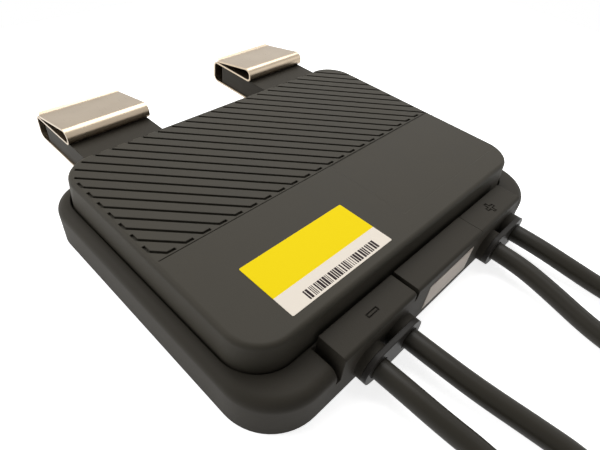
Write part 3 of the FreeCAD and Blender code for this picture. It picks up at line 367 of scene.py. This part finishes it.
def rolled_strip(name, colour, tinted, roughness):
    """Metal with fine rolling lines along Y."""
    material, tree, output = new_material(name)
    place = add(tree, "ShaderNodeTexCoord")
    across, along = 1 / ROLL_LINE, LINE_STRETCH / ROLL_LINE
    stretched = add(tree, "ShaderNodeMapping", {
        "Vector": place.outputs["Object"], "Scale": (across, along, along)})
    lines = add(tree, "ShaderNodeTexNoise", {
        "Vector": stretched.outputs[0], "Scale": 1.0, "Detail": 2.0})
    cloud = add(tree, "ShaderNodeTexNoise", {
        "Vector": place.outputs["Object"], "Scale": 1 / TINT_CLOUD, "Detail": 3.0})
    tone = add(tree, "ShaderNodeMix", {
        0: cloud.outputs["Fac"], 6: linear(colour), 7: linear(tinted)}, data_type="RGBA")
    gloss = add(tree, "ShaderNodeMapRange", {
        "Value": lines.outputs["Fac"], "To Min": roughness - 0.08, "To Max": roughness + 0.1})
    bump = add(tree, "ShaderNodeBump", {
        "Height": lines.outputs["Fac"], "Strength": 0.25, "Distance": 0.02 * MM})
    shader = add(tree, "ShaderNodeBsdfPrincipled", {
        "Base Color": tone.outputs[2], "Metallic": 1.0, "Roughness": gloss.outputs[0],
        "Normal": bump.outputs[0]})
    tree.links.new(shader.outputs[0], output.inputs["Surface"])
    return material


clip_steel = rolled_strip("clip_spring_steel", "a59682", "b5a692", 0.3)
plate_aluminium = rolled_strip("spreader_aluminium", "c6c8cb", "d4d6d8", 0.4)
contact_tin = rolled_strip("contact_tinned_copper", "c9c5bb", "d8d4ca", 0.3)
coil_copper = rolled_strip("choke_enamelled_copper", "a4552a", "b9683a", 0.32)
can_aluminium = rolled_strip("capacitor_can_aluminium", "b9bcc0", "cfd1d4", 0.3)

# %% Finishes of the pieces inside the box
seal_black = moulded_plastic("seal_rubber", "1c1c1c", "262626", 0.7, 0.02 * MM)
pad_blue = moulded_plastic("thermal_pad_silicone", "8794a6", "97a3b3", 0.75, 0.02 * MM)
board_green = moulded_plastic("board_solder_resist", "0e4a26", "146032", 0.35, 0.005 * MM)
ferrite_grey = moulded_plastic("choke_coated_ferrite", "3a3b3e", "47494d", 0.4, 0.02 * MM)
film_yellow = moulded_plastic("film_capacitor_case", "b08a1c", "c59b28", 0.35, 0.01 * MM)
chip_black = moulded_plastic("chip_epoxy", "1d1d1e", "29292a", 0.5, 0.01 * MM)
potting_grey = moulded_plastic("potting_silicone", "4a4a4b", "5a5a5b", 0.4, 0.02 * MM)

# %% Give every CAD piece the finish of its slot
FINISHES = {
    "housing_plastic": housing_black,
    "cover_plastic": cover_black,
    "seal_rubber": seal_black,
    "retainer_plastic": gland_black,
    "spring_steel": clip_steel,
    "spreader_metal": plate_aluminium,
    "thermal_pad": pad_blue,
    "board_laminate": board_green,
    "choke_core": ferrite_grey,
    "choke_wire": coil_copper,
    "capacitor_can": can_aluminium,
    "film_case": film_yellow,
    "chip_case": chip_black,
    "terminal_metal": contact_tin,
    "potting": potting_grey,
    "cable_jacket": jacket_black,
    "plug_plastic": plug_black,
    "contact_metal": contact_tin,
}
slot_of = {entry["node"]: entry["material_slot"] for entry in frame["record"]["subparts"]}
for name, piece in nodes.items():
    finish = FINISHES.get(slot_of[name])
    if finish:
        piece.data.materials.clear()
        piece.data.materials.append(finish)
for wire in cables.values():
    wire.data.materials.append(jacket_black)

# %% [markdown]
# ## Labels
# The front label is a printed film: a yellow field behind and a white one in front, which has a
# row of uneven dark bars. Each field is a thin sheet of its own, and the bars are thinner sheets
# on the white one, so that every edge of the print stays sharp. The label's place and size are
# those of the CAD model's label, which the two fields stand for.

# %% The printed film of the front label
label_low, label_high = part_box("front_label")
LABEL_LEFT, LABEL_FRONT, LABEL_TOP = (place / MM for place in label_low)
LABEL_WIDE, LABEL_LONG, LABEL_THICK = ((b - a) / MM for a, b in zip(label_low, label_high))
WHITE_LONG = 6.9
LABEL_CORNER = 0.4
FILM_WAVE = 6 * MM


def printed_film(name, colour, roughness):
    """Smooth printed film: flat ink with a low gloss and a faint waviness."""
    material, tree, output = new_material(name)
    place = add(tree, "ShaderNodeTexCoord")
    wave = add(tree, "ShaderNodeTexNoise", {
        "Vector": place.outputs["Object"], "Scale": 1 / FILM_WAVE, "Detail": 1.0})
    bump = add(tree, "ShaderNodeBump", {
        "Height": wave.outputs["Fac"], "Strength": 0.3, "Distance": 0.05 * MM})
    shader = add(tree, "ShaderNodeBsdfPrincipled", {
        "Base Color": linear(colour), "Roughness": roughness, "Normal": bump.outputs[0],
        "IOR": 1.49, "Specular IOR Level": 0.06})
    tree.links.new(shader.outputs[0], output.inputs["Surface"])
    return material


yellow_ink = printed_film("label_yellow_ink", "f6da00", 0.5)
white_film = printed_film("label_white_film", "eee4d6", 0.45)
black_ink = printed_film("label_black_ink", "2a2022", 0.45)
cream_film = printed_film("side_label_cream_film", "efe2d6", 0.45)


def sheet_piece(name, corner, size, round_end, finish):
    """A sheet by its low corner and size in millimetres, its corners rounded at one end.

    The rounded end is the back one for round_end 1 and the front one for -1.
    """
    work = bmesh.new()
    bmesh.ops.create_cube(work, size=1.0)
    bmesh.ops.scale(work, verts=work.verts, vec=Vector(size) * MM)
    upright = [e for e in work.edges if abs(e.verts[0].co.z - e.verts[1].co.z) > 1e-6]
    ends = [e for e in upright if e.verts[0].co.y * round_end > 0]
    bmesh.ops.bevel(work, geom=ends, offset=LABEL_CORNER * MM, segments=4, profile=0.5, affect="EDGES")
    middle = [low + long / 2 for low, long in zip(corner, size)]
    bmesh.ops.translate(work, verts=work.verts, vec=Vector(middle) * MM)
    piece = from_bmesh(name, work)
    piece.data.materials.append(finish)
    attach(piece, "root")
    return piece


sheet_piece(
    "label_white_half",
    (LABEL_LEFT, LABEL_FRONT, LABEL_TOP),
    (LABEL_WIDE, WHITE_LONG, LABEL_THICK),
    -1, white_film)
yellow_half = sheet_piece(
    "label_yellow_half",
    (LABEL_LEFT, LABEL_FRONT + WHITE_LONG, LABEL_TOP),
    (LABEL_WIDE, LABEL_LONG - WHITE_LONG, LABEL_THICK),
    1, yellow_ink)
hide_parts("front_label")

# %% A row of uneven dark bars on the white half
draw = random.Random(7)
BARS_FROM, BARS_TO = 6.9, 35.4
BAR_LONG, BAR_MIDDLE, BAR_THICK = 3.1, 2.25, 0.02
BAR_WIDTHS = (0.26, 0.52, 0.52, 0.78)
BAR_GAPS = (0.26, 0.26, 0.52)
bars = []
at = BARS_FROM
while at < BARS_TO:
    width = draw.choice(BAR_WIDTHS)
    bars.append((at, width))
    at += width + draw.choice(BAR_GAPS)
work = bmesh.new()
for start, width in bars:
    made = bmesh.ops.create_cube(work, size=1.0)["verts"]
    bmesh.ops.scale(work, verts=made, vec=Vector((width, BAR_LONG, BAR_THICK)) * MM)
    middle = (LABEL_LEFT + start + width / 2, LABEL_FRONT + BAR_MIDDLE, LABEL_TOP + LABEL_THICK)
    bmesh.ops.translate(work, verts=made, vec=Vector(middle) * MM)
label_bars = from_bmesh("label_bars", work)
label_bars.data.materials.append(black_ink)
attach(label_bars, "root")
print("bars on the label:", len(bars))

# %% The plain label on the front wall
nodes["side_label"].data.materials.clear()
nodes["side_label"].data.materials.append(cream_film)

# %% [markdown]
# ## Finish
# The picture settings stay plain, so that colours render about as they are written.

bpy.context.scene.view_settings.view_transform = "Standard"
